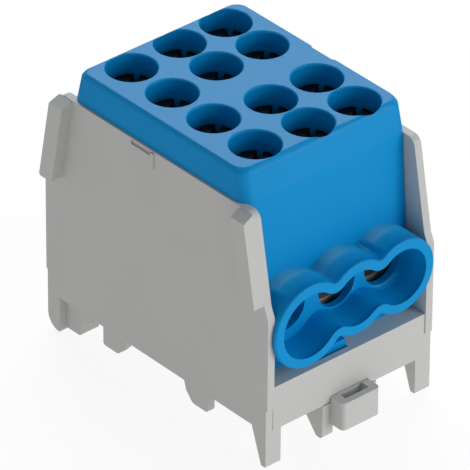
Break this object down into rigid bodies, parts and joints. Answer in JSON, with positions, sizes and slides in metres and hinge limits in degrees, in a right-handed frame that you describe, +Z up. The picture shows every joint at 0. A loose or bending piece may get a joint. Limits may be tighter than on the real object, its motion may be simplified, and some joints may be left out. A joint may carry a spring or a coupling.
{
  "type": "power distribution block",
  "caption": "Rail-mount distribution block: grey rail-mount base with a sprung latch, blue cover with screw holes and cable funnels, metal block with clamp screws.",
  "frame": {"origin": "middle of the block's overall box at the level of its feet", "axes": "+X across the block, away from the side with the coupling ribs; -Y towards the rail latch; +Z up, out of the screw holes"},
  "size_m": [0.0352, 0.055, 0.049],
  "materials": {
    "housing": "moulded light grey polyamide, fine satin texture",
    "cover": "moulded blue polycarbonate, satin",
    "latch": "moulded light grey polyamide, satin",
    "terminal_metal": "machined brass, tin plated",
    "screw_steel": "steel, dark oxide finish"
  },
  "bodies": {
    "block": {"housing": "housing", "cover": "cover", "terminal_block": "terminal_metal"},
    "rail_latch": {"rail_latch": "latch"},
    "clamp_screw_l1": {"clamp_screw_l1": "screw_steel"},
    "clamp_screw_l2": {"clamp_screw_l2": "screw_steel"},
    "clamp_screw_l3": {"clamp_screw_l3": "screw_steel"},
    "clamp_screw_l4": {"clamp_screw_l4": "screw_steel"},
    "clamp_screw_m1": {"clamp_screw_m1": "screw_steel"},
    "clamp_screw_m2": {"clamp_screw_m2": "screw_steel"},
    "clamp_screw_m3": {"clamp_screw_m3": "screw_steel"},
    "clamp_screw_m4": {"clamp_screw_m4": "screw_steel"},
    "clamp_screw_r1": {"clamp_screw_r1": "screw_steel"},
    "clamp_screw_r2": {"clamp_screw_r2": "screw_steel"},
    "clamp_screw_r3": {"clamp_screw_r3": "screw_steel"},
    "clamp_screw_r4": {"clamp_screw_r4": "screw_steel"}
  },
  "joints": [
    {"name": "clamp_screw_l1_travel", "type": "slide", "parent": "block", "child": "clamp_screw_l1", "axis": [0, 0, 1], "range_m": [-0.0055, 0.002]},
    {"name": "clamp_screw_l2_travel", "type": "slide", "parent": "block", "child": "clamp_screw_l2", "axis": [0, 0, 1], "range_m": [-0.0055, 0.002]},
    {"name": "clamp_screw_l3_travel", "type": "slide", "parent": "block", "child": "clamp_screw_l3", "axis": [0, 0, 1], "range_m": [-0.0055, 0.002]},
    {"name": "clamp_screw_l4_travel", "type": "slide", "parent": "block", "child": "clamp_screw_l4", "axis": [0, 0, 1], "range_m": [-0.0055, 0.002]},
    {"name": "clamp_screw_m1_travel", "type": "slide", "parent": "block", "child": "clamp_screw_m1", "axis": [0, 0, 1], "range_m": [-0.0055, 0.002]},
    {"name": "clamp_screw_m2_travel", "type": "slide", "parent": "block", "child": "clamp_screw_m2", "axis": [0, 0, 1], "range_m": [-0.0055, 0.002]},
    {"name": "clamp_screw_m3_travel", "type": "slide", "parent": "block", "child": "clamp_screw_m3", "axis": [0, 0, 1], "range_m": [-0.0055, 0.002]},
    {"name": "clamp_screw_m4_travel", "type": "slide", "parent": "block", "child": "clamp_screw_m4", "axis": [0, 0, 1], "range_m": [-0.0055, 0.002]},
    {"name": "clamp_screw_r1_travel", "type": "slide", "parent": "block", "child": "clamp_screw_r1", "axis": [0, 0, 1], "range_m": [-0.0055, 0.002]},
    {"name": "clamp_screw_r2_travel", "type": "slide", "parent": "block", "child": "clamp_screw_r2", "axis": [0, 0, 1], "range_m": [-0.0055, 0.002]},
    {"name": "clamp_screw_r3_travel", "type": "slide", "parent": "block", "child": "clamp_screw_r3", "axis": [0, 0, 1], "range_m": [-0.0055, 0.002]},
    {"name": "clamp_screw_r4_travel", "type": "slide", "parent": "block", "child": "clamp_screw_r4", "axis": [0, 0, 1], "range_m": [-0.0055, 0.002]},
    {"name": "rail_latch_slide", "type": "slide", "parent": "block", "child": "rail_latch", "axis": [0, -1, 0], "range_m": [0, 0.0035], "stiffness_N_per_m": 1500, "springref_m": -0.002}
  ]
}
